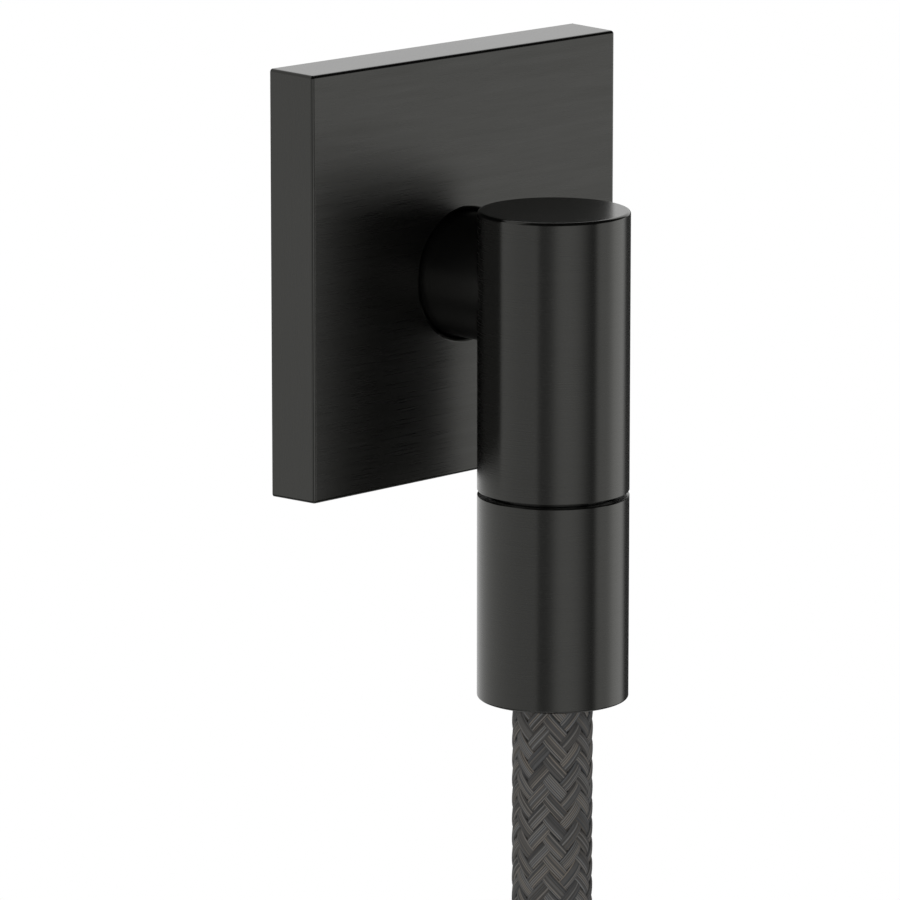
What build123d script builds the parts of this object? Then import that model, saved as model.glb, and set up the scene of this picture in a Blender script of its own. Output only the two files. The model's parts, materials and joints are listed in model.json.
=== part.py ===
"""A wall outlet elbow for a hand shower, with its square cover plate and its hose.

Sizes are in millimetres. The origin is where the inlet's axis meets the wall. +Z is up, +X is
to the right as seen from the room, and the room is on the -Y side of the wall. Water comes out
of the wall along the inlet's axis, turns down in the body, opens the check valve in the outlet
nipple and leaves through the hose, which hangs from a plain round nut of the body's own size.
"""

import os
from math import cos, degrees, pi, radians, sin, sqrt, tan

from build123d import *

# Cover plate: a shallow box, open to the wall, that leans out a little towards its rim.
plate_side = 70.2
plate_depth = 9.6
plate_lean = 0.2
plate_above_inlet = 1.65
plate_wall = 2.0
plate_front_wall = 2.4
plate_edge_round = 0.55
plate_inner_round = 1.5
plate_hole_gap = 0.35
plate_hole_round = 0.7
collar_wall = 1.6
collar_setback = 2.0
plate_seal_cord = 1.8
plate_seal_groove = 2.1
plate_seal_from_face = 4.6

# Elbow body: a closed upright cylinder with a neck to the wall.
body_radius = 12.5
body_top = 13.15
body_bottom = -33.2
body_reach = 29.6
body_edge_round = 0.55
body_foot_round = 0.12
neck_radius = 10.4
neck_setback = 2.0
roof_thickness = 3.5
chamber_radius = 8.0
chamber_corner = 1.0
waterway_radius = 6.5

# Nipples: both carry a G1/2 pipe thread, whose crests these radii give.
thread_radius = 10.4775
thread_chamfer = 0.8
key_across_flats = 12.0
thread_relief_width = 1.5
thread_relief_radius = 9.2
fit_gap = 0.02
seal_cord = 1.5
seal_groove_width = 2.1
seal_from_plug_end = 2.6
inlet_thread_length = 16.0
inlet_plug_radius = 8.0
inlet_plug_length = 12.0
inlet_bore_radius = 5.2
inlet_key_depth = 10.0
outlet_thread_length = 11.3
outlet_plug_radius = 10.0
outlet_plug_length = 14.2

# Check valve: a cartridge in the outlet nipple that opens downwards.
valve_radius = 7.5
valve_slip = 0.1
valve_length = 14.5
valve_flange_radius = 8.6
valve_flange_thickness = 1.5
valve_bore_radius = 5.6
valve_seat_radius = 3.9
valve_roof = 1.5
valve_top_bevel = 0.4
valve_seal_cord = 1.2
valve_seal_groove = 1.5
valve_seal_below_roof = 4.5
poppet_gap = 0.1
poppet_flow_gap = 0.7
poppet_disc_thickness = 1.0
poppet_nose_height = 1.2
poppet_nose_radius = 2.0
poppet_seal_cord = 0.8
stem_radius = 1.2
stem_slip = 0.05
stem_beyond_guide = 0.2
guide_ring_wall = 1.0
guide_ring_height = 2.4
guide_hub_radius = 3.2
guide_hub_foot = 0.6
guide_hub_height = 3.0
guide_arm_width = 1.2
guide_arm_count = 3
spring_wire = 0.5
spring_radius = 2.4
spring_turns = 4.0

# Hose end: a nut, a washer, a flanged tail with a barbed stem, and a crimped ferrule.
nut_radius = 12.5
nut_length = 34.15
nut_joint = 0.75
nut_top_round = 0.15
nut_foot_round = 0.4
nut_thread_slip = 0.02
nut_relief = 0.4
nut_shoulder = 2.5
nut_skirt_radius = 8.3
nut_lead_in = 0.7
washer_thickness = 2.0
washer_radius = 9.2
washer_bore_radius = 5.5
tail_flange_thickness = 1.9
tail_flange_radius = 9.2
tail_neck_radius = 6.0
tail_neck_slip = 0.25
tail_neck_beyond_nut = 1.0
tail_bore_radius = 3.0
tail_run_slip = 0.1
barb_count = 4
barb_depth = 0.4
stem_short_of_ferrule = 1.0
ferrule_wall = 1.2
ferrule_lip = 0.8
ferrule_length = 14.0
ferrule_bead_count = 3
ferrule_bead_depth = 0.25

# Hose: it hangs straight, swings aside, and is put away in a neat hanging coil.
hose_radius = 6.6
hose_bore_radius = 4.1
hose_straight = 92.0
hose_aside_angle = 55.0
hose_first_slope = 43.0
hose_second_slope = 42.0
hose_bend_share = 0.45
hose_to_wall = 15.1
coil_radius = 66.0
coil_pitch = 13.4
coil_step_angle = 30.0
coil_first_y = -16.0
coil_whole_turns = 3
end_run = 68.2
end_stands_out = 1.3
tie_thickness = 1.2
tie_width = 12.0
tie_angle = 150.0

# Places that follow from the sizes above.
plate_face_y = -plate_depth
hole_radius = neck_radius + plate_hole_gap
plug_back_y = -(neck_setback + inlet_plug_length)
plug_top = body_bottom + outlet_plug_length
outlet_tip = body_bottom - outlet_thread_length
nut_top = body_bottom - nut_joint
washer_depth = nut_top - outlet_tip
flange_depth = washer_depth + washer_thickness
seat_depth = flange_depth + tail_flange_thickness + tail_run_slip
neck_depth = seat_depth + nut_shoulder + tail_neck_beyond_nut
hose_depth = neck_depth + ferrule_lip
coil_turns = coil_whole_turns + hose_aside_angle / 360


def turned(points):
    """A solid of revolution about Z from (radius, height) points."""
    outline = make_face(Plane.XZ * Polyline(*points, close=True))
    return revolve(outline, Axis.Z, 360)


def disc(radius, low, high):
    """An upright cylinder from height low to height high."""
    return Pos(0, 0, (low + high) / 2) * Cylinder(radius, high - low)


def ring(outer, inner, low, high):
    """An upright round sleeve."""
    return disc(outer, low, high) - disc(inner, low - 1, high + 1)


def key_socket(low, high):
    """The space of a hexagon key from height low to height high."""
    corner_radius = key_across_flats / 2 / cos(radians(30))
    return extrude(Pos(0, 0, low) * RegularPolygon(corner_radius, 6), high - low)


def o_ring(inner_radius, outer_radius, height):
    """A seal ring that just fills the space between two radii."""
    cord_radius = (outer_radius - inner_radius) / 2
    return Pos(0, 0, height) * Torus(inner_radius + cord_radius, cord_radius)


def rounded_rims(part, at_height, radius, tolerance=0.01):
    """Round the outermost circular edge of a turned part at a height."""
    rims = [e for e in part.edges().filter_by(GeomType.CIRCLE) if abs(e.center().Z - at_height) < tolerance]
    widest = max(e.radius for e in rims)
    return fillet([e for e in rims if e.radius > widest - tolerance], radius)


# Inlet pieces are turned about Z and laid along the wall's normal. Their height becomes Y.
along_inlet = Rot(-90, 0, 0)
# Outlet pieces stand on the body's own axis.
on_outlet = Pos(0, -body_reach, 0)


def make_escutcheon():
    centre = Pos(0, 0, plate_above_inlet)
    rim_side = plate_side + 2 * plate_lean
    rim = centre * (Plane.XZ * Rectangle(rim_side, rim_side))
    face = centre * Pos(0, plate_face_y, 0) * (Plane.XZ * Rectangle(plate_side, plate_side))
    shell = loft([rim, face])
    shell = fillet([e for e in shell.edges() if e.center().Y < -0.01], plate_edge_round)

    hollow_side = plate_side - 2 * plate_wall
    hollow_depth = plate_depth - plate_front_wall
    hollow = centre * Pos(0, -hollow_depth / 2, 0) * Box(hollow_side, hollow_depth, hollow_side)
    inner_edges = hollow.edges().filter_by(Axis.Y) + hollow.faces().sort_by(Axis.Y)[0].edges()
    hollow = fillet(inner_edges, plate_inner_round)

    seal_radius = neck_radius + plate_seal_cord
    seal_y = plate_face_y + plate_seal_from_face
    groove_half = plate_seal_groove / 2
    collar = along_inlet * disc(seal_radius + collar_wall, plate_face_y + plate_front_wall, -collar_setback)
    hole = along_inlet * disc(hole_radius, plate_face_y - 1, 1)
    groove = along_inlet * disc(seal_radius, seal_y - groove_half, seal_y + groove_half)
    part = shell - hollow + collar - hole - groove
    rims = [
        e
        for e in part.edges().filter_by(GeomType.CIRCLE)
        if abs(e.center().Y - plate_face_y) < 0.01 and abs(e.radius - hole_radius) < 0.01
    ]
    return fillet(rims, plate_hole_round)


def make_escutcheon_o_ring():
    seal_y = plate_face_y + plate_seal_from_face
    return along_inlet * o_ring(neck_radius, neck_radius + plate_seal_cord, seal_y)


def make_elbow_body():
    post = disc(body_radius, body_bottom, body_top)
    post = rounded_rims(post, body_top, body_edge_round)
    post = rounded_rims(post, body_bottom, body_foot_round)
    neck = along_inlet * disc(neck_radius, -body_reach, -neck_setback)

    chamber_top = body_top - roof_thickness
    chamber = turned(
        [
            (0, chamber_top),
            (chamber_radius - chamber_corner, chamber_top),
            (chamber_radius, chamber_top - chamber_corner),
            (chamber_radius, plug_top),
            (outlet_plug_radius, plug_top),
            (outlet_plug_radius, body_bottom - 1),
            (0, body_bottom - 1),
        ]
    )
    waterway = along_inlet * disc(waterway_radius, -body_reach, 0)
    pocket = along_inlet * disc(inlet_plug_radius, plug_back_y, 0)
    return on_outlet * post + neck - on_outlet * chamber - waterway - pocket


def nipple(plug_radius, plug_length, thread_length):
    """A nipple's outside: the plug below height 0 and the thread's crests above it."""
    seal_low = -plug_length + seal_from_plug_end
    groove_radius = plug_radius - seal_cord
    plug = plug_radius - fit_gap
    tip_radius = thread_radius - thread_chamfer
    return turned(
        [
            (0, -plug_length),
            (plug, -plug_length),
            (plug, seal_low),
            (groove_radius, seal_low),
            (groove_radius, seal_low + seal_groove_width),
            (plug, seal_low + seal_groove_width),
            (plug, 0),
            (thread_radius, 0),
            (thread_radius, thread_length - thread_chamfer),
            (tip_radius, thread_length),
            (0, thread_length),
        ]
    )


def nipple_seal(plug_radius, plug_length):
    """The seal ring of a nipple, in the middle of its groove."""
    height = -plug_length + seal_from_plug_end + seal_groove_width / 2
    return o_ring(plug_radius - seal_cord, plug_radius, height)


# A nipple's height 0 is where its plug ends: at the neck's end, or at the body's foot.
at_inlet = Pos(0, -neck_setback, 0) * along_inlet
at_outlet = Pos(0, -body_reach, body_bottom) * Rot(180, 0, 0)


def make_inlet_nipple():
    part = nipple(inlet_plug_radius, inlet_plug_length, inlet_thread_length)
    part -= ring(thread_radius + 1, thread_relief_radius, 0, thread_relief_width)
    part -= disc(inlet_bore_radius, -inlet_plug_length - 1, inlet_thread_length)
    part -= key_socket(inlet_thread_length - inlet_key_depth, inlet_thread_length + 1)
    return at_inlet * part


def make_outlet_nipple():
    part = nipple(outlet_plug_radius, outlet_plug_length, outlet_thread_length)
    bore_start = outlet_thread_length - valve_length - fit_gap
    part -= disc(valve_radius + valve_slip, bore_start, outlet_thread_length + 1)
    recess_start = outlet_thread_length - valve_flange_thickness
    part -= disc(valve_flange_radius + valve_slip, recess_start, outlet_thread_length + 1)
    part -= key_socket(-outlet_plug_length - 1, bore_start)
    return at_outlet * part


# The valve's own height 0 is its flange's outer face, and water comes down to it from valve_length.
# Its seat is a cone of 45 degrees, and the poppet's cone is the same one, a gap further in.
at_valve = Pos(0, -body_reach, outlet_tip)
seat_top = valve_length - valve_roof
seat_foot = seat_top - (valve_bore_radius - valve_seat_radius)
valve_seal_height = seat_top - valve_seal_below_roof
poppet_radius = valve_bore_radius - poppet_flow_gap
poppet_crown_radius = valve_seat_radius - poppet_gap * sqrt(2)
poppet_rim = seat_top - (poppet_radius - poppet_crown_radius)
poppet_foot = poppet_rim - poppet_disc_thickness
poppet_seal_inset = (poppet_seal_cord / 2 - poppet_gap + fit_gap) / sqrt(2)
poppet_seal_ring = (poppet_radius + poppet_crown_radius) / 2 - poppet_seal_inset
poppet_seal_height = (poppet_rim + seat_top) / 2 - poppet_seal_inset


def make_check_valve_body():
    groove_radius = valve_radius + valve_slip - valve_seal_cord
    groove_low = valve_seal_height - valve_seal_groove / 2
    groove_high = valve_seal_height + valve_seal_groove / 2
    outside = turned(
        [
            (0, 0),
            (valve_flange_radius, 0),
            (valve_flange_radius, valve_flange_thickness),
            (valve_radius, valve_flange_thickness),
            (valve_radius, groove_low),
            (groove_radius, groove_low),
            (groove_radius, groove_high),
            (valve_radius, groove_high),
            (valve_radius, valve_length - valve_top_bevel),
            (valve_radius - valve_top_bevel, valve_length),
            (0, valve_length),
        ]
    )
    inside = turned(
        [
            (0, -1),
            (valve_bore_radius, -1),
            (valve_bore_radius, seat_foot),
            (valve_seat_radius, seat_top),
            (valve_seat_radius, valve_length + 1),
            (0, valve_length + 1),
        ]
    )
    return at_valve * (outside - inside)


def poppet_seal(grow):
    """The ring in the poppet's cone that meets the seat, or its groove."""
    return Pos(0, 0, poppet_seal_height) * Torus(poppet_seal_ring, poppet_seal_cord / 2 + grow)


def make_check_valve_poppet():
    stem_foot = guide_hub_foot - stem_beyond_guide
    part = turned(
        [
            (0, stem_foot),
            (stem_radius, stem_foot),
            (stem_radius, poppet_foot),
            (poppet_radius, poppet_foot),
            (poppet_radius, poppet_rim),
            (poppet_crown_radius, seat_top),
            (poppet_nose_radius, seat_top + poppet_nose_height),
            (0, seat_top + poppet_nose_height),
        ]
    )
    return at_valve * (part - poppet_seal(fit_gap))


def make_check_valve_guide():
    part = ring(valve_bore_radius, valve_bore_radius - guide_ring_wall, 0, guide_ring_height)
    part += disc(guide_hub_radius, guide_hub_foot, guide_hub_height)
    arm_length = valve_bore_radius - guide_ring_wall / 2
    arm_height = guide_ring_height - guide_hub_foot
    for step in range(guide_arm_count):
        arm = Pos(arm_length / 2, 0, guide_hub_foot + arm_height / 2)
        arm *= Box(arm_length, guide_arm_width, arm_height)
        part += Rot(0, 0, step * 360 / guide_arm_count) * arm
    part -= disc(stem_radius + stem_slip, -1, guide_hub_height + 1)
    return at_valve * part


def make_check_valve_spring():
    first_height = guide_hub_height + spring_wire / 2 + fit_gap
    height = poppet_foot - spring_wire / 2 - fit_gap - first_height
    path = Helix(pitch=height / spring_turns, height=height, radius=spring_radius)
    section = Plane(origin=path @ 0, z_dir=path % 0) * Circle(spring_wire / 2)
    return at_valve * Pos(0, 0, first_height) * sweep(section, path=path, is_frenet=True)


def make_check_valve_o_ring():
    bore = valve_radius + valve_slip
    return at_valve * o_ring(bore - valve_seal_cord, bore, valve_seal_height)


# Each hose end is made about Z with height 0 at the nut's thread mouth and the hose above it.


def hose_nut():
    thread = thread_radius + nut_thread_slip
    part = turned(
        [
            (thread + nut_lead_in, 0),
            (nut_radius, 0),
            (nut_radius, nut_length),
            (nut_skirt_radius, nut_length),
            (nut_skirt_radius, seat_depth + nut_shoulder),
            (tail_neck_radius + tail_neck_slip, seat_depth + nut_shoulder),
            (tail_neck_radius + tail_neck_slip, seat_depth),
            (thread + nut_relief, seat_depth),
            (thread + nut_relief, washer_depth),
            (thread, washer_depth),
            (thread, nut_lead_in),
        ]
    )
    part = rounded_rims(part, 0, nut_top_round)
    return rounded_rims(part, nut_length, nut_foot_round)


def hose_washer():
    return ring(washer_radius, washer_bore_radius, washer_depth, flange_depth)


def hose_tail():
    stem_length = ferrule_length - ferrule_lip - stem_short_of_ferrule
    barb_length = stem_length / barb_count
    outline = [
        (tail_bore_radius, flange_depth),
        (tail_flange_radius, flange_depth),
        (tail_flange_radius, flange_depth + tail_flange_thickness),
        (tail_neck_radius, flange_depth + tail_flange_thickness),
        (tail_neck_radius, neck_depth),
        (hose_bore_radius, neck_depth),
    ]
    for step in range(barb_count):
        barb_start = hose_depth + step * barb_length
        outline.append((hose_bore_radius, barb_start))
        outline.append((hose_bore_radius - barb_depth, barb_start + barb_length))
    outline.append((tail_bore_radius, hose_depth + stem_length))
    return turned(outline)


def hose_ferrule():
    inner = hose_radius
    outer = hose_radius + ferrule_wall
    part = ring(outer, inner, hose_depth, neck_depth + ferrule_length)
    part += ring(outer, hose_bore_radius + fit_gap, neck_depth, hose_depth)
    spacing = ferrule_length / (ferrule_bead_count + 1)
    for step in range(ferrule_bead_count):
        height = neck_depth + (step + 1) * spacing
        part -= Pos(0, 0, height) * Torus(outer + ferrule_bead_depth, 2 * ferrule_bead_depth)
    return part


# The wall end's mouth looks up, under the body. The far end's mouth looks down.
at_wall_end = Pos(0, -body_reach, nut_top) * Rot(180, 0, 0)


def slope(length, angle):
    """A step that leads down and to the left at an angle from straight down."""
    return Vector(-length * sin(radians(angle)), 0, -length * cos(radians(angle)))


def hose_route():
    """The corners of the hose's route from the tail to the coil's first point."""
    start = Vector(0, -body_reach, nut_top - hose_depth)
    bend = start + Vector(0, 0, -hose_straight)
    aside = bend + slope(hose_first_slope, hose_aside_angle / 2)
    aside = Vector(aside.X, -body_reach + hose_to_wall, aside.Z)
    joins = aside + slope(hose_second_slope, hose_aside_angle)
    return [start, bend, aside, Vector(joins.X, coil_first_y, joins.Z)]


def coil_centre():
    """The middle of the coil, in the plane of its first turn."""
    first_corner = hose_route()[-1]
    corner_radius = coil_radius / cos(radians(coil_step_angle / 2))
    angle = radians(180 - hose_aside_angle + coil_step_angle / 2)
    return first_corner - Vector(corner_radius * cos(angle), 0, corner_radius * sin(angle))


def bend_radii(corners):
    """A radius for each inner corner of a route, so that its arc takes that share of the shorter run."""
    radii = []
    for before, here, after in zip(corners, corners[1:], corners[2:]):
        half_turn = radians((here - before).get_angle(after - here) / 2)
        shorter = min((here - before).length, (after - here).length)
        radii.append(hose_bend_share * shorter / tan(half_turn))
    return radii


def make_hose_lead():
    corners = hose_route()
    radii = bend_radii(corners)
    path = FilletPolyline(*corners, radius=radii)
    across = Plane(origin=corners[0], z_dir=corners[1] - corners[0])
    section = Circle(hose_radius) - Circle(hose_bore_radius)
    tube = sweep(across * section, path=path)
    expected = pi * (hose_radius**2 - hose_bore_radius**2) * path.length
    print("hose radii", [round(r, 1) for r in radii], "volume ratio", round(tube.volume / expected, 4))
    return tube


def coil_section(grow):
    """The coil's cut outline at its right-hand side, as a sketch in the XY plane."""
    centre = coil_centre()
    depth = coil_pitch * coil_turns + 2 * hose_radius
    middle_y = coil_first_y - coil_pitch * coil_turns / 2
    across = RectangleRounded(2 * (hose_radius + grow), depth + 2 * grow, hose_radius + grow - 0.01)
    return Pos(centre.X + coil_radius, middle_y, centre.Z) * across


def coil_axis():
    centre = coil_centre()
    return Axis((centre.X, 0, centre.Z), (0, 1, 0))


def make_hose_coil():
    return revolve(coil_section(0), coil_axis(), 360)


def make_hose_tie():
    arc = degrees(tie_width / coil_radius)
    strap = coil_section(tie_thickness) - coil_section(0)
    band = revolve(strap, coil_axis(), arc)
    return band.rotate(coil_axis(), -tie_angle - arc / 2)


def end_place():
    """Where the hose leaves the coil, straight down, at the coil's left."""
    centre = coil_centre()
    side = coil_radius + end_stands_out
    return Vector(centre.X - side, coil_first_y - coil_pitch * coil_turns, centre.Z)


def make_hose_end():
    place = end_place()
    return Pos(place.X, place.Y, place.Z) * ring(hose_radius, hose_bore_radius, -end_run, 0)


def far_end():
    place = end_place()
    return Pos(place.X, place.Y, place.Z - end_run - hose_depth)


parts = {
    "escutcheon": make_escutcheon(),
    "escutcheon_o_ring": make_escutcheon_o_ring(),
    "elbow_body": make_elbow_body(),
    "inlet_nipple": make_inlet_nipple(),
    "inlet_nipple_o_ring": at_inlet * nipple_seal(inlet_plug_radius, inlet_plug_length),
    "outlet_nipple": make_outlet_nipple(),
    "outlet_nipple_o_ring": at_outlet * nipple_seal(outlet_plug_radius, outlet_plug_length),
    "check_valve_body": make_check_valve_body(),
    "check_valve_poppet": make_check_valve_poppet(),
    "check_valve_seal": at_valve * poppet_seal(0),
    "check_valve_spring": make_check_valve_spring(),
    "check_valve_guide": make_check_valve_guide(),
    "check_valve_o_ring": make_check_valve_o_ring(),
    "wall_hose_nut": at_wall_end * hose_nut(),
    "wall_hose_washer": at_wall_end * hose_washer(),
    "wall_hose_tail": at_wall_end * hose_tail(),
    "wall_hose_ferrule": at_wall_end * hose_ferrule(),
    "hose_lead": make_hose_lead(),
    "hose_coil": make_hose_coil(),
    "hose_end": make_hose_end(),
    "hose_tie": make_hose_tie(),
    "far_hose_ferrule": far_end() * hose_ferrule(),
    "far_hose_tail": far_end() * hose_tail(),
    "far_hose_washer": far_end() * hose_washer(),
    "far_hose_nut": far_end() * hose_nut(),
}

os.makedirs("parts", exist_ok=True)
for name, part in parts.items():
    export_step(part, f"parts/{name}.step")
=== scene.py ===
"""The looks of a wall outlet elbow: brushed black metal, bare brass inside and a braided hose.

Everything is in metres in the frame of the solids. The origin is where the inlet's axis meets
the wall, +Z is up, +X is to the right as seen from the room, and the room is on the -Y side.
"""

import json
from math import cos, pi, radians, sin, tan

import bpy
import numpy as np
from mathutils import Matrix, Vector


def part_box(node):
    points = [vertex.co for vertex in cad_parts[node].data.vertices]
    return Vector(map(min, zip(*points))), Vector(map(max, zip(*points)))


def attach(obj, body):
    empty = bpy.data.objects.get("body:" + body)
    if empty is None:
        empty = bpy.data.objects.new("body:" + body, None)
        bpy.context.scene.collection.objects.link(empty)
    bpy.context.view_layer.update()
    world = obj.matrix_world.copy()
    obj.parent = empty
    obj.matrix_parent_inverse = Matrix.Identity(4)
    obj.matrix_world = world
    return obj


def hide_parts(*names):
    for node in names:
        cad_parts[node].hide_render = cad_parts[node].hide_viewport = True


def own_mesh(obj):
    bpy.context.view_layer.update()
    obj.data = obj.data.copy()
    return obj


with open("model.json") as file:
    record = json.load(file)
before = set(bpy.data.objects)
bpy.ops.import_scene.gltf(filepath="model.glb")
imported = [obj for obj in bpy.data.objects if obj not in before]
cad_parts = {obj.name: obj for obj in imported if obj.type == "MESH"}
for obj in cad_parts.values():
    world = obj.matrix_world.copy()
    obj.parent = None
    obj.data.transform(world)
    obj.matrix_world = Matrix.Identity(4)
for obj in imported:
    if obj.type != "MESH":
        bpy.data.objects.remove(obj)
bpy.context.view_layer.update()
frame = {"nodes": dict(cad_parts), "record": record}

# Places and sizes that repeat the solids' own.
body_reach = 0.0296
body_radius = 0.0125
neck_end_y = -0.002
hose_radius = 0.0066
thread_pitch = 0.001814
thread_crest = 0.0104775
thread_root = 0.0093160
key_size = 0.012

# How finely turned pieces are made: points round them, and rows to a thread's pitch.
round_steps = 72
thread_steps = 14

# The hose's route. It hangs straight, swings aside and is put away in a coil.
hose_start = (0.0, -0.0296, -0.0528)
hose_straight_end = (0.0, -0.0296, -0.1448)
hose_aside = (-0.019855, -0.0145, -0.18294)
straight_point_above_end = 0.04557
coil_centre_x = -0.001917
coil_centre_z = -0.250951
coil_radius = 0.066
coil_step_degrees = 30
coil_first_degrees = 140
coil_points = 38
coil_first_y = -0.016
coil_pitch = 0.0134
drop_below_centre = 0.03
hose_end_x = -0.069217
hose_end_y = -0.058247
hose_end_z = -0.319152

# The braid: how many yarns run each way, how steeply they climb, where round the hose the first
# one starts, and how many ridges and how many lines of colour each has across it.
carriers = 14
braid_angle = radians(41.5)
braid_phase = radians(16.1)
filaments = 9
lines_in_yarn = 13

# The black finish on metal: its tones, how deep its grain is, how wide a line of the grain or a
# patch is, and how many widths it is long.
plating_dark = (0.087, 0.087, 0.082, 1)
plating_pale = (0.097, 0.097, 0.092, 1)
grain_depth = 0.00002
grain_width = 0.00012
grain_stretch = 80
end_grain_width = 0.00016
end_grain_stretch = 40
plate_patch_width = 0.0012
round_patch_width = 0.0010
patch_stretch = 14

# How rough the grain's smooth and rough lines are, how far reflections are drawn out across the
# grain, how much the grain changes the tone, how strong its relief is, and how metallic the face is.
plate_finish = dict(smooth=0.255, rough=0.365, drawn_out=0.0, tone=0.022, relief=0.25, metallic=0.98)
round_finish = dict(smooth=0.253, rough=0.277, drawn_out=0.78, tone=0.002, relief=0.004, metallic=0.945)
neck_metallic = 0.98

# The rounded edges and the top faces, where handling and plating leave them smoother.
edge_roughness = 0.13
edge_metallic = 0.99
top_roughness = 0.18

# The middle of the noise, which patches and grain keep where a face is even.
even = 0.5


def new_material(name):
    """A material, its node tree and its shader."""
    material = bpy.data.materials.new(name)
    material.use_nodes = True
    tree = material.node_tree
    shader = tree.nodes["Principled BSDF"]
    return material, tree, shader


def add_node(tree, kind, inputs=None, **settings):
    """Add a node. An input is given as a value or as another node's output socket."""
    node = tree.nodes.new(kind)
    for key, value in settings.items():
        setattr(node, key, value)
    for key, value in (inputs or {}).items():
        socket = node.inputs[key]
        if isinstance(value, bpy.types.NodeSocket):
            tree.links.new(value, socket)
        else:
            socket.default_value = value
    return node


def math_node(tree, operation, *values, clamp=False):
    """The result of one operation on numbers."""
    inputs = dict(enumerate(values))
    return add_node(tree, "ShaderNodeMath", inputs, operation=operation, use_clamp=clamp).outputs[0]


def vector_math(tree, operation, *values):
    """A node that does one operation on vectors."""
    return add_node(tree, "ShaderNodeVectorMath", dict(enumerate(values)), operation=operation)


def ramp(tree, value, low, high, to_low=0.0, to_high=1.0, smooth=False):
    """Map value from low..high to to_low..to_high."""
    node = add_node(
        tree,
        "ShaderNodeMapRange",
        {0: value, 1: low, 2: high, 3: to_low, 4: to_high},
        interpolation_type="SMOOTHSTEP" if smooth else "LINEAR",
    )
    return node.outputs[0]


def from_noise(tree, value, to_low=0.0, to_high=1.0):
    """Map the usual range of noise to to_low..to_high."""
    usual_low = 0.3
    usual_high = 0.7
    return ramp(tree, value, usual_low, usual_high, to_low, to_high)


def choose_value(tree, factor, first, second):
    """The first number where factor is 0, the second where it is 1."""
    node = add_node(tree, "ShaderNodeMix", {0: factor, 2: first, 3: second}, data_type="FLOAT")
    return node.outputs[0]


def choose_vector(tree, factor, first, second):
    """The first vector where factor is 0, the second where it is 1."""
    node = add_node(tree, "ShaderNodeMix", {0: factor, 4: first, 5: second}, data_type="VECTOR")
    return node.outputs[1]


def mix_colour(tree, factor, first, second, blend="MIX"):
    """The first colour where factor is 0, the second, blended over it, where it is 1."""
    inputs = {0: factor, 6: first, 7: second}
    node = add_node(tree, "ShaderNodeMix", inputs, data_type="RGBA", blend_type=blend)
    return node.outputs[2]


def noise(tree, position, size, stretch=(1, 1, 1), detail=3.0, rough=0.5):
    """Noise with features of about that size in metres, drawn out along each axis by stretch."""
    scale = tuple(1 / (size * s) for s in stretch)
    spread = vector_math(tree, "MULTIPLY", position, scale)
    inputs = {"Vector": spread.outputs[0], "Scale": 1.0, "Detail": detail, "Roughness": rough}
    return add_node(tree, "ShaderNodeTexNoise", inputs).outputs["Fac"]


def level_noise(tree, position, size, stretch, detail=2.0):
    """Noise drawn out level, as brushing and turning leave it."""
    return noise(tree, position, size, (stretch, stretch, 1), detail)


def object_place(tree):
    """The place on the object, in metres."""
    return add_node(tree, "ShaderNodeTexCoord").outputs["Object"]


def surface_normal(tree):
    """The direction that the surface faces."""
    return add_node(tree, "ShaderNodeNewGeometry").outputs["Normal"]


def add_relief(tree, shader, strength, depth, height):
    """Bump from 0 to depth metres high, by height from 0 to 1."""
    inputs = {"Strength": strength, "Distance": depth, "Height": height}
    bump = add_node(tree, "ShaderNodeBump", inputs)
    tree.links.new(bump.outputs[0], shader.inputs["Normal"])


def finish_metal(tree, shader, tangent, grain, patches, on_top, edge, finish):
    """Set the black finish from the noise of grain and patches and the masks of top faces and edges."""
    colour = mix_colour(tree, from_noise(tree, patches), plating_dark, plating_pale)
    streak = from_noise(tree, grain, 1.0 - finish["tone"], 1.0 + finish["tone"])
    grey = add_node(tree, "ShaderNodeCombineColor", {0: streak, 1: streak, 2: streak}).outputs[0]
    colour = mix_colour(tree, 1.0, colour, grey, "MULTIPLY")
    tree.links.new(colour, shader.inputs["Base Color"])
    rough = from_noise(tree, grain, finish["smooth"], finish["rough"])
    rough = choose_value(tree, on_top, rough, top_roughness)
    rough = choose_value(tree, edge, rough, edge_roughness)
    tree.links.new(rough, shader.inputs["Roughness"])
    metallic = choose_value(tree, edge, finish["metallic"], edge_metallic)
    tree.links.new(metallic, shader.inputs["Metallic"])
    shader.inputs["Anisotropic"].default_value = finish["drawn_out"]
    tree.links.new(tangent, shader.inputs["Tangent"])
    add_relief(tree, shader, strength=finish["relief"], depth=grain_depth, height=grain)


def faces_along(tree, size):
    """1 where that share of the normal says that the surface faces that way, and 0 elsewhere."""
    mostly = 0.75
    return math_node(tree, "GREATER_THAN", size, mostly)


def worn_edge(tree, facing):
    """1 on a rounded edge, where facing, the normal's largest share along a main direction, drops."""
    on_face = 0.9995
    on_edge = 0.990
    return ramp(tree, facing, on_face, on_edge, smooth=True)


def make_plate_metal():
    """The cover plate: grain level on the front, upright on the sides."""
    material, tree, shader = new_material("plate_brushed_black")
    place = object_place(tree)
    sizes = vector_math(tree, "ABSOLUTE", surface_normal(tree)).outputs[0]
    shares = add_node(tree, "ShaderNodeSeparateXYZ", {0: sizes}).outputs
    on_side, on_front, on_top = (faces_along(tree, share) for share in shares)
    level = level_noise(tree, place, grain_width, grain_stretch)
    upright = noise(tree, place, grain_width, (1, 1, grain_stretch), detail=2.0)
    grain = choose_value(tree, on_side, level, upright)
    patches = level_noise(tree, place, plate_patch_width, patch_stretch)
    patches = choose_value(tree, on_side, patches, even)
    across = choose_vector(tree, on_front, (0, 1, 0), (0, 0, 1))
    facing = math_node(tree, "MAXIMUM", shares[0], shares[1])
    edge = worn_edge(tree, math_node(tree, "MAXIMUM", facing, shares[2]))
    finish_metal(tree, shader, across, grain, patches, on_top, edge, plate_finish)
    return material


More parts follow.
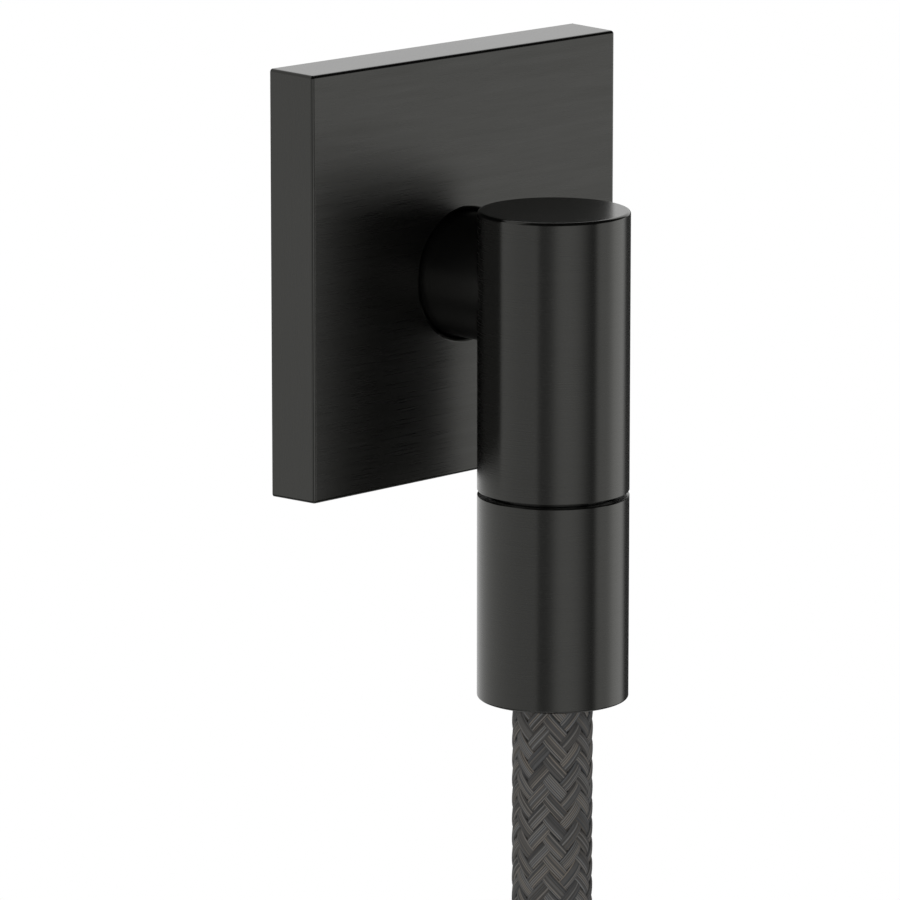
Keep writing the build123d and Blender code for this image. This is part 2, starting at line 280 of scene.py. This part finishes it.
def facing_of_turned(tree, upward):
    """How squarely a surface round an upright axis faces along the axis or straight away from it."""
    along = math_node(tree, "ABSOLUTE", upward)
    along_squared = math_node(tree, "MULTIPLY", along, along)
    away = math_node(tree, "SQRT", math_node(tree, "SUBTRACT", 1.0, along_squared, clamp=True))
    return math_node(tree, "MAXIMUM", along, away)


def is_on_neck(tree, place):
    """1 on the neck, which lies outside the body's upright cylinder, and 0 elsewhere."""
    from_axis = vector_math(tree, "ADD", place, (0, body_reach, 0)).outputs[0]
    level_part = vector_math(tree, "MULTIPLY", from_axis, (1, 1, 0)).outputs[0]
    distance = vector_math(tree, "LENGTH", level_part).outputs["Value"]
    clearance = 0.0001
    return math_node(tree, "GREATER_THAN", distance, body_radius + clearance)


def make_round_metal(name, neck):
    """Turned metal: grain round an upright axis, straight on the body's top and even on its neck."""
    material, tree, shader = new_material(name)
    place = object_place(tree)
    grain = level_noise(tree, place, grain_width, grain_stretch)
    patches = level_noise(tree, place, round_patch_width, patch_stretch)
    faint_patches = ramp(tree, patches, 0.0, 1.0, 0.4, 0.6)
    upward = add_node(tree, "ShaderNodeSeparateXYZ", {0: surface_normal(tree)}).outputs[2]
    on_end = faces_along(tree, upward)
    across = choose_vector(tree, on_end, (0, 0, 1), (0, 1, 0))
    facing = facing_of_turned(tree, upward)
    finish = dict(round_finish)
    if neck:
        end_grain = noise(tree, place, end_grain_width, (end_grain_stretch, 1, 1), detail=2.0)
        grain = choose_value(tree, on_end, grain, end_grain)
        on_neck = is_on_neck(tree, place)
        grain = choose_value(tree, on_neck, grain, even)
        on_end = math_node(tree, "MULTIPLY", on_end, math_node(tree, "SUBTRACT", 1.0, on_neck))
        across = choose_vector(tree, on_neck, across, (0, 1, 0))
        facing = choose_value(tree, on_neck, facing, 1.0)
        finish["metallic"] = choose_value(tree, on_neck, finish["metallic"], neck_metallic)
    edge = worn_edge(tree, facing)
    finish_metal(tree, shader, across, grain, faint_patches, on_end, edge, finish)
    return material


def make_brass():
    """Bare turned brass with uneven tarnish."""
    bright = (0.62, 0.46, 0.21, 1)
    tarnished = (0.50, 0.35, 0.15, 1)
    turning_stretch = 40
    tarnish_size = 0.004
    material, tree, shader = new_material("bare_brass")
    place = object_place(tree)
    turning = level_noise(tree, place, grain_width, turning_stretch)
    tarnish = noise(tree, place, tarnish_size, detail=4.0)
    colour = mix_colour(tree, ramp(tree, tarnish, 0.35, 0.7), bright, tarnished)
    tree.links.new(colour, shader.inputs["Base Color"])
    tree.links.new(from_noise(tree, turning, 0.24, 0.36), shader.inputs["Roughness"])
    shader.inputs["Metallic"].default_value = 1.0
    add_relief(tree, shader, strength=0.15, depth=0.00003, height=turning)
    return material


def make_steel():
    """Drawn spring wire with faint marks."""
    pale = (0.56, 0.56, 0.55, 1)
    dark = (0.46, 0.46, 0.45, 1)
    mark_width = 0.0002
    mark_stretch = 6
    material, tree, shader = new_material("plain_steel")
    marks = level_noise(tree, object_place(tree), mark_width, mark_stretch, detail=3.0)
    colour = mix_colour(tree, from_noise(tree, marks), pale, dark)
    tree.links.new(colour, shader.inputs["Base Color"])
    tree.links.new(from_noise(tree, marks, 0.25, 0.38), shader.inputs["Roughness"])
    shader.inputs["Metallic"].default_value = 1.0
    return material


def make_matt(name, dark, light, rough, grain):
    """A matt moulded material, such as rubber or plastic, with a fine grain."""
    unevenness = 0.06
    material, tree, shader = new_material(name)
    speck = noise(tree, object_place(tree), grain, detail=4.0, rough=0.6)
    colour = mix_colour(tree, from_noise(tree, speck), dark, light)
    tree.links.new(colour, shader.inputs["Base Color"])
    roughness = from_noise(tree, speck, rough - unevenness, rough + unevenness)
    tree.links.new(roughness, shader.inputs["Roughness"])
    add_relief(tree, shader, strength=0.2, depth=grain * 0.1, height=speck)
    return material


def random_node(tree, first, second):
    """A node with a random value and a random colour for each pair of whole numbers."""
    pair = add_node(tree, "ShaderNodeCombineXYZ", {0: first, 1: second}).outputs[0]
    return add_node(tree, "ShaderNodeTexWhiteNoise", {"Vector": pair}, noise_dimensions="2D")


def make_braid_material():
    """Dark woven fibres. The map's U counts yarns and its V counts a yarn's turns on the outside."""
    darker_yarn = (0.047, 0.0455, 0.044, 1)
    paler_yarn = (0.059, 0.0565, 0.053, 1)
    dark_line = (0.031, 0.0305, 0.030, 1)
    # The colour of the lines with a painted highlight, where a filament would catch the light.
    painted_highlight_line = (0.118, 0.110, 0.101, 1)
    cool = (0.91, 0.985, 1.08, 1)
    warm = (1.07, 1.0, 0.91, 1)
    hairs_in_yarn = 60.0
    hair_breaks_in_turn = 6.7

    material, tree, shader = new_material("braid_fibre")
    weave = add_node(tree, "ShaderNodeUVMap", uv_map="weave").outputs[0]
    parts = add_node(tree, "ShaderNodeSeparateXYZ", {0: weave})
    count, along = parts.outputs[0], parts.outputs[1]
    yarn = math_node(tree, "FLOOR", count)
    line = math_node(tree, "FLOOR", math_node(tree, "MULTIPLY", count, float(lines_in_yarn)))
    turn = math_node(tree, "FLOOR", along)
    random_line = random_node(tree, line, turn)
    tone = random_line.outputs["Value"]
    warmth = add_node(tree, "ShaderNodeSeparateColor", {0: random_line.outputs["Color"]}).outputs[1]

    # Yarns differ in tone. In each, some lines are dark, and some of every second line carry a painted
    # highlight, where a filament would catch the light.
    colour = mix_colour(tree, random_node(tree, yarn, turn).outputs["Value"], darker_yarn, paler_yarn)
    colour = mix_colour(tree, ramp(tree, tone, 0.30, 0.18), colour, dark_line)
    every_second = math_node(tree, "MODULO", line, 2.0)
    light = math_node(tree, "MULTIPLY", ramp(tree, tone, 0.38, 0.56), every_second)
    colour = mix_colour(tree, light, colour, painted_highlight_line)
    colour = mix_colour(tree, 1.0, colour, mix_colour(tree, warmth, cool, warm), "MULTIPLY")
    tree.links.new(colour, shader.inputs["Base Color"])
    shader.inputs["Roughness"].default_value = 0.65

    across_hairs = math_node(tree, "MULTIPLY", count, hairs_in_yarn)
    along_hairs = math_node(tree, "MULTIPLY", along, hair_breaks_in_turn)
    hairs = add_node(tree, "ShaderNodeCombineXYZ", {0: across_hairs, 1: along_hairs}).outputs[0]
    fuzz = add_node(tree, "ShaderNodeTexNoise", {"Vector": hairs, "Scale": 1.0, "Detail": 1.0})
    add_relief(tree, shader, strength=0.3, depth=0.00004, height=fuzz.outputs["Fac"])
    return material


plate_metal = make_plate_metal()
body_metal = make_round_metal("body_brushed_black", neck=True)
nut_metal = make_round_metal("nut_brushed_black", neck=False)
brass = make_brass()
steel = make_steel()
rubber = make_matt("seal_rubber", (0.020, 0.020, 0.020, 1), (0.035, 0.035, 0.034, 1), 0.6, 0.0006)
plastic = make_matt("valve_acetal", (0.72, 0.73, 0.73, 1), (0.78, 0.79, 0.79, 1), 0.42, 0.0008)
strap = make_matt("tie_strap", (0.016, 0.016, 0.017, 1), (0.040, 0.040, 0.041, 1), 0.8, 0.0005)
core_cloth = make_matt("braid_core", (0.012, 0.012, 0.012, 1), (0.022, 0.022, 0.022, 1), 0.8, 0.0005)
fibre = make_braid_material()

slot_materials = {
    "plate_metal": plate_metal,
    "body_metal": body_metal,
    "nut_metal": nut_metal,
    "raw_brass": brass,
    "seal_rubber": rubber,
    "valve_plastic": plastic,
    "spring_steel": steel,
    "braid": core_cloth,
    "tie_strap": strap,
}
for part in frame["record"]["subparts"]:
    node = frame["nodes"][part["node"]]
    node.data.materials.clear()
    node.data.materials.append(slot_materials[part["material_slot"]])


def mesh_piece(name, points, faces, material, smooth=True):
    """A mesh object from a list of points and a list of faces by their points' numbers."""
    mesh = bpy.data.meshes.new(name)
    mesh.from_pydata([tuple(p) for p in points], [], [tuple(f) for f in faces])
    mesh.update()
    if smooth:
        mesh.shade_smooth()
    else:
        mesh.shade_flat()
    mesh.materials.append(material)
    piece = bpy.data.objects.new(name, mesh)
    bpy.context.scene.collection.objects.link(piece)
    return piece


def grid_faces(rows, columns, wrap=False, first=0):
    """Quads between rows of points. With wrap, each row's last point joins its first."""
    faces = []
    for r in range(rows - 1):
        for c in range(columns if wrap else columns - 1):
            d = (c + 1) % columns
            near = first + r * columns
            far = near + columns
            faces.append((near + c, near + d, far + d, far + c))
    return faces


def hose_route():
    """The route's corner points, from the tail at the wall to the far end."""
    route = [Vector(hose_start)]
    route.append(Vector(hose_straight_end) + Vector((0, 0, straight_point_above_end)))
    route.append(Vector(hose_straight_end))
    route.append(Vector(hose_aside))
    corner_radius = coil_radius / cos(radians(coil_step_degrees / 2))
    first_turned = coil_first_degrees - coil_step_degrees / 2
    for step in range(coil_points):
        turned = coil_first_degrees + step * coil_step_degrees
        across = coil_centre_x + corner_radius * cos(radians(turned))
        height = coil_centre_z + corner_radius * sin(radians(turned))
        out = coil_first_y - coil_pitch * (turned - first_turned) / 360
        route.append(Vector((across, out, height)))
    route.append(Vector((hose_end_x, hose_end_y, coil_centre_z - drop_below_centre)))
    route.append(Vector((hose_end_x, hose_end_y, hose_end_z)))
    return route


def spline_object(name, route, thickness=0.0):
    """One open spline that runs smoothly inside its corner points, round where it has a thickness."""
    curve = bpy.data.curves.new(name, "CURVE")
    curve.dimensions = "3D"
    curve.resolution_u = 8
    curve.bevel_depth = thickness
    curve.bevel_resolution = 4
    curve.use_fill_caps = True
    spline = curve.splines.new("NURBS")
    spline.points.add(len(route) - 1)
    for point, place in zip(spline.points, route):
        point.co = (*place, 1.0)
    spline.order_u = 3
    spline.use_endpoint_u = True
    piece = bpy.data.objects.new(name, curve)
    bpy.context.scene.collection.objects.link(piece)
    return piece


def spline_points(route):
    """The points of the smooth line that the spline makes of the route."""
    bare = spline_object("route_line", route)
    mesh = bpy.data.meshes.new_from_object(bare)
    line = np.array([v.co[:] for v in mesh.vertices])
    bpy.data.objects.remove(bare, do_unlink=True)
    bpy.data.meshes.remove(mesh)
    return line


class Track:
    """The hose's middle line with two directions across it that don't twist."""

    def __init__(self, line, facing):
        self.line = line
        steps = np.diff(line, axis=0)
        self.distance = np.concatenate([[0], np.cumsum(np.linalg.norm(steps, axis=1))])
        ahead = np.gradient(line, self.distance, axis=0)
        ahead /= np.linalg.norm(ahead, axis=1)[:, None]
        side = np.array(facing, float)
        self.side = np.empty_like(line)
        for i, direction in enumerate(ahead):
            side = side - direction * side.dot(direction)
            side /= np.linalg.norm(side)
            self.side[i] = side
        self.other = np.cross(ahead, self.side)

    def at(self, distance, angle, radius):
        """Points at a distance along the line, an angle round it and a radius from it."""
        def along(values):
            return np.stack([np.interp(distance, self.distance, values[:, k]) for k in range(3)], axis=-1)

        out = np.cos(angle)[..., None] * along(self.side) + np.sin(angle)[..., None] * along(self.other)
        return along(self.line) + radius[..., None] * out


route = hose_route()
toward_camera = (-0.7071, -0.7071, 0.0)
track = Track(spline_points(route), toward_camera)
hose_total = track.distance[-1]
print("hose length", round(float(hose_total), 4))

core_radius = 0.00575
hose = spline_object("hose_core", route, core_radius)
hose.data.materials.append(core_cloth)

# The yarns: the share of their room that they fill, how far their middle lies inside the hose's
# radius, how far they swing out and in as they cross, and how high their own forms are.
yarn_fill = 0.97
yarn_width = 2 * pi * hose_radius / carriers * cos(braid_angle) * yarn_fill
climb = tan(braid_angle) / hose_radius
yarn_middle = hose_radius - 0.00027
yarn_swing = 0.00024
swing_steepness = 1.6
crown_height = 0.00010
edge_dip = 0.00016
ridge_height = 0.000035

# How far a yarn's edges keep off the whole numbers in the map that counts yarns.
map_inset = 0.001


def yarn_profile(across, ridges):
    """How far a point across a yarn stands out: a low crown, filament ridges and dipped edges."""
    crown = crown_height * (1 - (2 * across - 1) ** 2)
    edge = -edge_dip * np.abs(2 * across - 1) ** 8
    ridge = ridge_height * np.abs(np.sin(pi * across * filaments)) if ridges else 0.0
    return crown + edge + ridge


def braid(name, first, last, rows_per_crossing, columns, ridges):
    """Woven yarns round the hose from one distance along it to another, each over two and under two."""
    crossing = pi / (climb * carriers)
    rows = int(round((last - first) / crossing * rows_per_crossing)) + 1
    along = np.linspace(first, last, rows)
    across = np.linspace(0, 1, columns)
    s, u = np.meshgrid(along, across, indexing="ij")
    offset = (u - 0.5) * yarn_width
    points, faces, weave = [], [], []
    for way in (1, -1):
        for number in range(carriers):
            # A yarn lies inside at each whole turn and outside halfway between.
            phase = climb * s * carriers / pi
            turn = (2 * number - 0.5 + way * phase) / 4 + (0.5 if way == 1 else 0.0)
            lift = -np.cos(2 * pi * turn)
            lift = np.tanh(swing_steepness * lift) / np.tanh(swing_steepness)
            radius = yarn_middle + yarn_swing * lift + yarn_profile(u, ridges)
            angle = braid_phase + 2 * pi * number / carriers + way * climb * s
            angle = angle + offset * cos(braid_angle) / hose_radius
            distance = s - way * offset * sin(braid_angle)
            distance = np.clip(distance, first, last)
            start = len(points) * rows * columns
            points.append(track.at(distance, angle, radius).reshape(-1, 3))
            strip = grid_faces(rows, columns, first=start)
            if way == 1:
                strip = [f[::-1] for f in strip]
            faces.extend(strip)
            label = number + (carriers if way == -1 else 0)
            count = label + map_inset + (1 - 2 * map_inset) * u
            weave.append(np.stack([count, turn], axis=-1).reshape(-1, 2))
    piece = mesh_piece(name, np.concatenate(points), faces, fibre)
    mesh = piece.data
    corner_points = np.empty(len(mesh.loops), dtype=np.int32)
    mesh.loops.foreach_get("vertex_index", corner_points)
    layer = mesh.uv_layers.new(name="weave")
    layer.data.foreach_set("uv", np.concatenate(weave)[corner_points].ravel())
    return piece


# The stretch that is seen close up has its ridges. The rest is plainer and comes in three pieces.
seen_to = 0.062
yarns = [braid("braid_seen", 0.0, seen_to, rows_per_crossing=5, columns=2 * filaments + 1, ridges=True)]
rest_pieces = 3
for number in range(rest_pieces):
    low = seen_to + (hose_total - seen_to) * number / rest_pieces
    high = seen_to + (hose_total - seen_to) * (number + 1) / rest_pieces
    name = f"braid_rest_{number + 1}"
    yarns.append(braid(name, low, high, rows_per_crossing=2, columns=5, ridges=False))

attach(hose, "root")
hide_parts("hose_lead", "hose_coil", "hose_end")
for yarn in yarns:
    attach(yarn, "root")


def smooth_step(value):
    """Rise smoothly from 0 to 1 as value does."""
    value = np.clip(value, 0, 1)
    return value * value * (3 - 2 * value)


def thread_depth(height, turned, low, high):
    """The rounded pipe thread, from 0 at its root to 1 at its crest. It runs out at both ends."""
    place = (height / thread_pitch - turned / (2 * pi)) % 1
    flank = np.abs(2 * place - 1)
    root_share = 0.12
    ridge = smooth_step((flank - root_share) / (1 - 2 * root_share))
    runout = thread_pitch * 0.8
    fade = smooth_step((height - low) / runout) * smooth_step((high - height) / runout)
    return ridge * fade


# From what angle on an edge shows as sharp, on turned pieces and on cut ends.
sharp_turned = radians(38)
sharp_end = radians(50)


def lathe(name, rows, columns, material, place):
    """A closed ring from rows of (height, radius or radius by angle). place(x, y, height) sets it."""
    angles = np.linspace(0, 2 * pi, columns, endpoint=False)
    points = []
    for height, radius in rows:
        radius = radius(angles) if callable(radius) else np.full(columns, radius)
        points.extend(place(r * cos(a), r * sin(a), height) for r, a in zip(radius, angles))
    faces = grid_faces(len(rows), columns, wrap=True)
    last = (len(rows) - 1) * columns
    for c in range(columns):
        d = (c + 1) % columns
        faces.append((last + c, last + d, d, c))
    piece = mesh_piece(name, points, faces, material)
    piece.data.set_sharp_from_angle(angle=sharp_turned)
    return piece


def key_radius(angles):
    """A hexagon's radius by angle."""
    off_flat = (angles + pi / 6) % (pi / 3) - pi / 6
    return key_size / 2 / np.cos(off_flat)


def make_inlet_nipple():
    """The wall nipple with its cut thread, key socket and seal groove. Height 0 is at the neck's end."""
    plug = 0.00798
    groove = 0.0065
    relief = 0.0092
    bore = 0.0052
    foot = -0.012
    foot_chamfer = 0.0003
    groove_foot = -0.0094
    groove_top = -0.0073
    key_floor = 0.006
    tip = 0.016
    tip_chamfer = 0.0008
    key_chamfer = 0.0004
    first_thread = 0.0015
    relief_end = 0.0013
    thread_from = 0.0012
    thread_to = 0.017
    rows = [(foot, bore), (foot, plug - foot_chamfer), (foot + foot_chamfer, plug)]
    rows += [(groove_foot, plug), (groove_foot, groove), (groove_top, groove), (groove_top, plug)]
    rows += [(0.0, plug), (0.0, relief), (relief_end, relief)]
    for height in np.arange(first_thread, tip + 0.00001, thread_pitch / thread_steps):
        limit = thread_crest - max(0.0, height - (tip - tip_chamfer))

        def cut(angles, height=height, limit=limit):
            depth = thread_depth(height, angles, thread_from, thread_to)
            return np.minimum(thread_root + depth * (thread_crest - thread_root), limit)

        rows.append((height, cut))
    rows += [(tip, lambda angles: key_radius(angles) + key_chamfer), (tip - key_chamfer, key_radius)]
    rows += [(key_floor, key_radius), (key_floor, bore)]

    def place(x, z, height):
        return (x, neck_end_y + height, -z)

    nipple = lathe("inlet_nipple_threaded", rows, round_steps, brass, place)
    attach(nipple, "root")
    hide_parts("inlet_nipple")


def make_far_thread():
    """The thread inside the hose's far nut: a ring that is let into the nut's bore."""
    low_corner, high_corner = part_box("far_hose_nut")
    axis_x = (low_corner[0] + high_corner[0]) / 2
    axis_y = (low_corner[1] + high_corner[1]) / 2
    mouth = low_corner[2]
    start = 0.0009
    end = 0.0103
    wall_step = 0.0001
    let_in = 0.00006
    wall = thread_crest + let_in
    rows = [(end, wall)]
    for height in np.arange(end - wall_step, start, -thread_pitch / thread_steps):

        def cut(angles, height=height):
            depth = thread_depth(height, angles, start, end)
            return thread_crest - depth * (thread_crest - thread_root)

        rows.append((height, cut))
    rows.append((start, wall))

    def place(x, y, height):
        return (axis_x + x, axis_y + y, mouth + height)

    thread = lathe("far_nut_thread", rows, round_steps, brass, place)
    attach(thread, "far_nut")
    return thread


make_inlet_nipple()
far_thread = make_far_thread()


def make_spring():
    """The check valve's spring, which is pressed together as the poppet opens."""
    wire = 0.00025
    mean_radius = 0.0024
    turns = 4
    steps_in_turn = 40
    sides = 12
    low_corner, high_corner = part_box("check_valve_spring")
    along = np.linspace(0, 1, turns * steps_in_turn + 1)
    angles = 2 * pi * turns * along
    first, last = low_corner[2] + wire, high_corner[2] - wire
    outward = np.stack([np.cos(angles), np.sin(angles), 0 * angles], axis=-1)
    middle = mean_radius * outward + np.array([0, -body_reach, 0])
    middle[:, 2] = first + (last - first) * along
    ahead = np.stack([-np.sin(angles), np.cos(angles), 0 * angles], axis=-1)
    ahead[:, 2] = (last - first) / (2 * pi * turns * mean_radius)
    ahead /= np.linalg.norm(ahead, axis=1)[:, None]
    upward = np.cross(outward, ahead)
    points = []
    for side in range(sides):
        turned = 2 * pi * side / sides
        points.append(middle + wire * (cos(turned) * outward + sin(turned) * upward))
    points = np.stack(points, axis=1).reshape(-1, 3)
    faces = grid_faces(len(along), sides, wrap=True)
    faces = [f[::-1] for f in faces]
    faces.append(tuple(range(sides)))
    faces.append(tuple(reversed(range(len(points) - sides, len(points)))))
    spring = mesh_piece("valve_spring", points, faces, steel)
    spring.data.set_sharp_from_angle(angle=sharp_end)
    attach(spring, "root")
    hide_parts("check_valve_spring")
    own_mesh(spring)


make_spring()


def make_tie():
    """A hook and loop strap round the coil's turns, with its end lapped over itself."""
    thickness = 0.0009
    width = 0.0115
    loose = 0.00015
    outer_room = 0.0012
    layer_rise = 1.06
    end_run = 0.009
    low_corner, high_corner = (Vector(c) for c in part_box("hose_tie"))
    middle = (low_corner + high_corner) / 2
    from_centre = Vector((middle.x - coil_centre_x, 0, middle.z - coil_centre_z))
    outward = from_centre.normalized()
    level = Vector((0, 1, 0))
    round_coil = outward.cross(level)
    seat = middle + outward * (coil_radius - from_centre.length)
    inside = hose_radius + loose
    straight = (high_corner.y - low_corner.y) / 2 - inside - outer_room

    # Each step is a place along the strap: a bend's centre, the angle round it and the layer.
    end_steps = 16
    steps = []
    for centre, first, layer in ((straight, -90, 0.0), (-straight, 90, 0.0), (straight, -90, 1.0)):
        for step in range(end_steps + 1):
            steps.append((centre, radians(first + 180 * step / end_steps), layer))
    for share in (0.6, 0.9, 1.0):
        steps.append((straight - end_run * share, pi / 2, 1.0))
    end_widths = {len(steps) - 2: 0.86, len(steps) - 1: 0.60}

    # The strap's section, in shares of its width and thickness, with bevelled corners.
    side = 0.5
    edge = 0.46
    bevel = 0.15
    section = ((-side, bevel), (-side, 1 - bevel), (-edge, 1.0), (edge, 1.0))
    section += ((side, 1 - bevel), (side, bevel), (edge, 0.0), (-edge, 0.0))
    points = []
    for number, (centre, turned, layer) in enumerate(steps):
        for across, up in section:
            out = inside + thickness * (layer * layer_rise + up)
            flat = level * (centre + out * cos(turned)) + outward * (out * sin(turned))
            points.append(seat + flat + round_coil * (across * width * end_widths.get(number, 1.0)))
    columns = len(section)
    faces = grid_faces(len(steps), columns, wrap=True)
    faces.append(tuple(reversed(range(columns))))
    faces.append(tuple(range(len(points) - columns, len(points))))
    tie = mesh_piece("tie_strap", points, faces, strap)
    tie.data.set_sharp_from_angle(angle=sharp_end)
    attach(tie, "root")
    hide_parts("hose_tie")
    return tie


tie = make_tie()

# The camera stands where the photograph was taken from.
camera_data = bpy.data.cameras.new("camera")
camera_data.sensor_width = 36.0
camera_data.lens = 273.88
camera = bpy.data.objects.new("camera", camera_data)
camera.location = (-0.78701, -0.79190, 0.20649)
camera.rotation_euler = (radians(77.984), 0, radians(-45.0295))
bpy.context.scene.collection.objects.link(camera)
bpy.context.scene.camera = camera

# The studio, by direction round the object in degrees to the right of the camera: where each panel
# begins, how soft that edge is, where it ends, how soft that edge is, and how bright the panel is.
# A later one stands in front of an earlier one, and all stand in front of the base.
studio_base = 0.46
studio_parts = (
    ("wide white wall at the left", -200, 1, -102, 50, 0.87),
    ("narrow flag left of the camera", -24, 2, -1, 14, 0.15),
    ("front panel right of the camera", 4, 10, 34, 14, 0.64),
    ("black flag right of it", 49, 14, 67, 4, 0.06),
    ("narrow panel at the right", 69, 5, 96, 10, 0.66),
    ("bright panel at the right", 96, 10, 131, 8, 1.18),
    ("black flag behind at the right", 135, 7, 181, 5, 0.05),
)
camera_heading = 225.0
left_side = (-190, 5, -56, 10)

# Where the studio changes with height, in degrees above the horizon: where each change starts and
# where it is full.
ceiling = (3.0, 13.0)
high_wall_top = (56.0, 68.0)
dark_below = (-22.0, -34.0)
lit_floor = (-40.0, -52.0)
backdrop_foot = (-2.0, 6.0)
backdrop_top = (44.0, 38.0)
backdrop_side = (131.0, 149.0)

# How bright those parts are, and what matt surfaces get from all round.
upper_left_light = 0.42
above_light = 0.02
below_light = 0.03
floor_light = 0.55
backdrop_light = 0.90
matt_light = 0.62


def between(tree, turned, first, first_softness, last, last_softness):
    """1 between two directions, with an edge of its own softness at each."""
    rises = ramp(tree, turned, first - first_softness, first + first_softness, smooth=True)
    falls = ramp(tree, turned, last + last_softness, last - last_softness, smooth=True)
    return math_node(tree, "MULTIPLY", rises, falls)


def make_studio():
    """White to the camera, even on matt surfaces, and panels and flags for metal to reflect."""
    world = bpy.data.worlds.new("studio")
    world.use_nodes = True
    world.cycles.sampling_method = "NONE"
    tree = world.node_tree
    tree.nodes.clear()
    to_degrees = 180 / pi
    place = add_node(tree, "ShaderNodeTexCoord").outputs["Generated"]
    parts = add_node(tree, "ShaderNodeSeparateXYZ", {0: place})
    heading = math_node(tree, "ARCTAN2", parts.outputs[1], parts.outputs[0])
    heading = math_node(tree, "MULTIPLY", heading, to_degrees)
    turned = math_node(tree, "SUBTRACT", heading, camera_heading)
    turned = math_node(tree, "WRAP", turned, 180.0, -180.0)
    upward = math_node(tree, "MULTIPLY", math_node(tree, "ARCSINE", parts.outputs[2]), to_degrees)

    def by_height(change):
        return ramp(tree, upward, *change, smooth=True)

    level = studio_base
    for _, first, first_softness, last, last_softness, brightness in studio_parts:
        mask = between(tree, turned, first, first_softness, last, last_softness)
        level = choose_value(tree, mask, level, brightness)
    under_ceiling = by_height(ceiling)
    at_left = between(tree, turned, *left_side)
    upper_left = math_node(tree, "MULTIPLY", at_left, under_ceiling)
    level = choose_value(tree, upper_left, level, upper_left_light)
    above = choose_value(tree, at_left, under_ceiling, by_height(high_wall_top))
    level = choose_value(tree, above, level, above_light)
    level = choose_value(tree, by_height(dark_below), level, below_light)
    level = choose_value(tree, by_height(lit_floor), level, floor_light)
    behind = ramp(tree, math_node(tree, "ABSOLUTE", turned), *backdrop_side, smooth=True)
    edges = math_node(tree, "MULTIPLY", by_height(backdrop_foot), by_height(backdrop_top))
    level = choose_value(tree, math_node(tree, "MULTIPLY", behind, edges), level, backdrop_light)

    rays = add_node(tree, "ShaderNodeLightPath")
    level = choose_value(tree, rays.outputs["Is Glossy Ray"], matt_light, level)
    clear = math_node(tree, "MAXIMUM", rays.outputs["Is Camera Ray"], rays.outputs["Is Transmission Ray"])
    level = choose_value(tree, clear, level, 1.0)
    back = add_node(tree, "ShaderNodeBackground", {"Color": (1, 1, 1, 1), "Strength": level})
    out = add_node(tree, "ShaderNodeOutputWorld")
    tree.links.new(back.outputs[0], out.inputs["Surface"])
    bpy.context.scene.world = world


make_studio()
bpy.context.scene.view_settings.view_transform = "Standard"


lamp_target = (0, -body_reach, -0.1)


def soft_light(name, place, size, power):
    """A large square lamp that faces the hose and leaves no spot in the metal."""
    data = bpy.data.lights.new(name, "AREA")
    data.size = size
    data.energy = power
    lamp = bpy.data.objects.new(name, data)
    lamp.location = place
    aim = Vector(lamp_target) - Vector(place)
    lamp.rotation_euler = aim.to_track_quat("-Z", "Y").to_euler()
    lamp.visible_glossy = False
    bpy.context.scene.collection.objects.link(lamp)


soft_light("key", (-1.7, -1.1, -0.4), 1.2, 21.0)
soft_light("fill", (0.6, -1.8, 0.0), 1.2, 3.0)

# The floor: a wide pale disc far below, seen by the camera and by matt surfaces.
floor_material, floor_tree, floor_shader = new_material("pale_floor")
floor_place = object_place(floor_tree)
floor_grain_size = 0.004
floor_grain = from_noise(floor_tree, noise(floor_tree, floor_place, floor_grain_size))
floor_colour = mix_colour(floor_tree, floor_grain, (0.86, 0.86, 0.86, 1), (0.90, 0.90, 0.90, 1))
floor_tree.links.new(floor_colour, floor_shader.inputs["Base Color"])
floor_shader.inputs["Roughness"].default_value = 0.9
floor_shader.inputs["Specular IOR Level"].default_value = 0.1
floor_z = -1.1
floor_radius = 2.2
floor_corners = 96
floor_turns = [2 * pi * i / floor_corners for i in range(floor_corners)]
floor_rim = [(floor_radius * cos(turn), floor_radius * sin(turn), floor_z) for turn in floor_turns]
floor = mesh_piece("floor", floor_rim, [tuple(range(floor_corners))], floor_material, smooth=False)
floor.visible_glossy = False
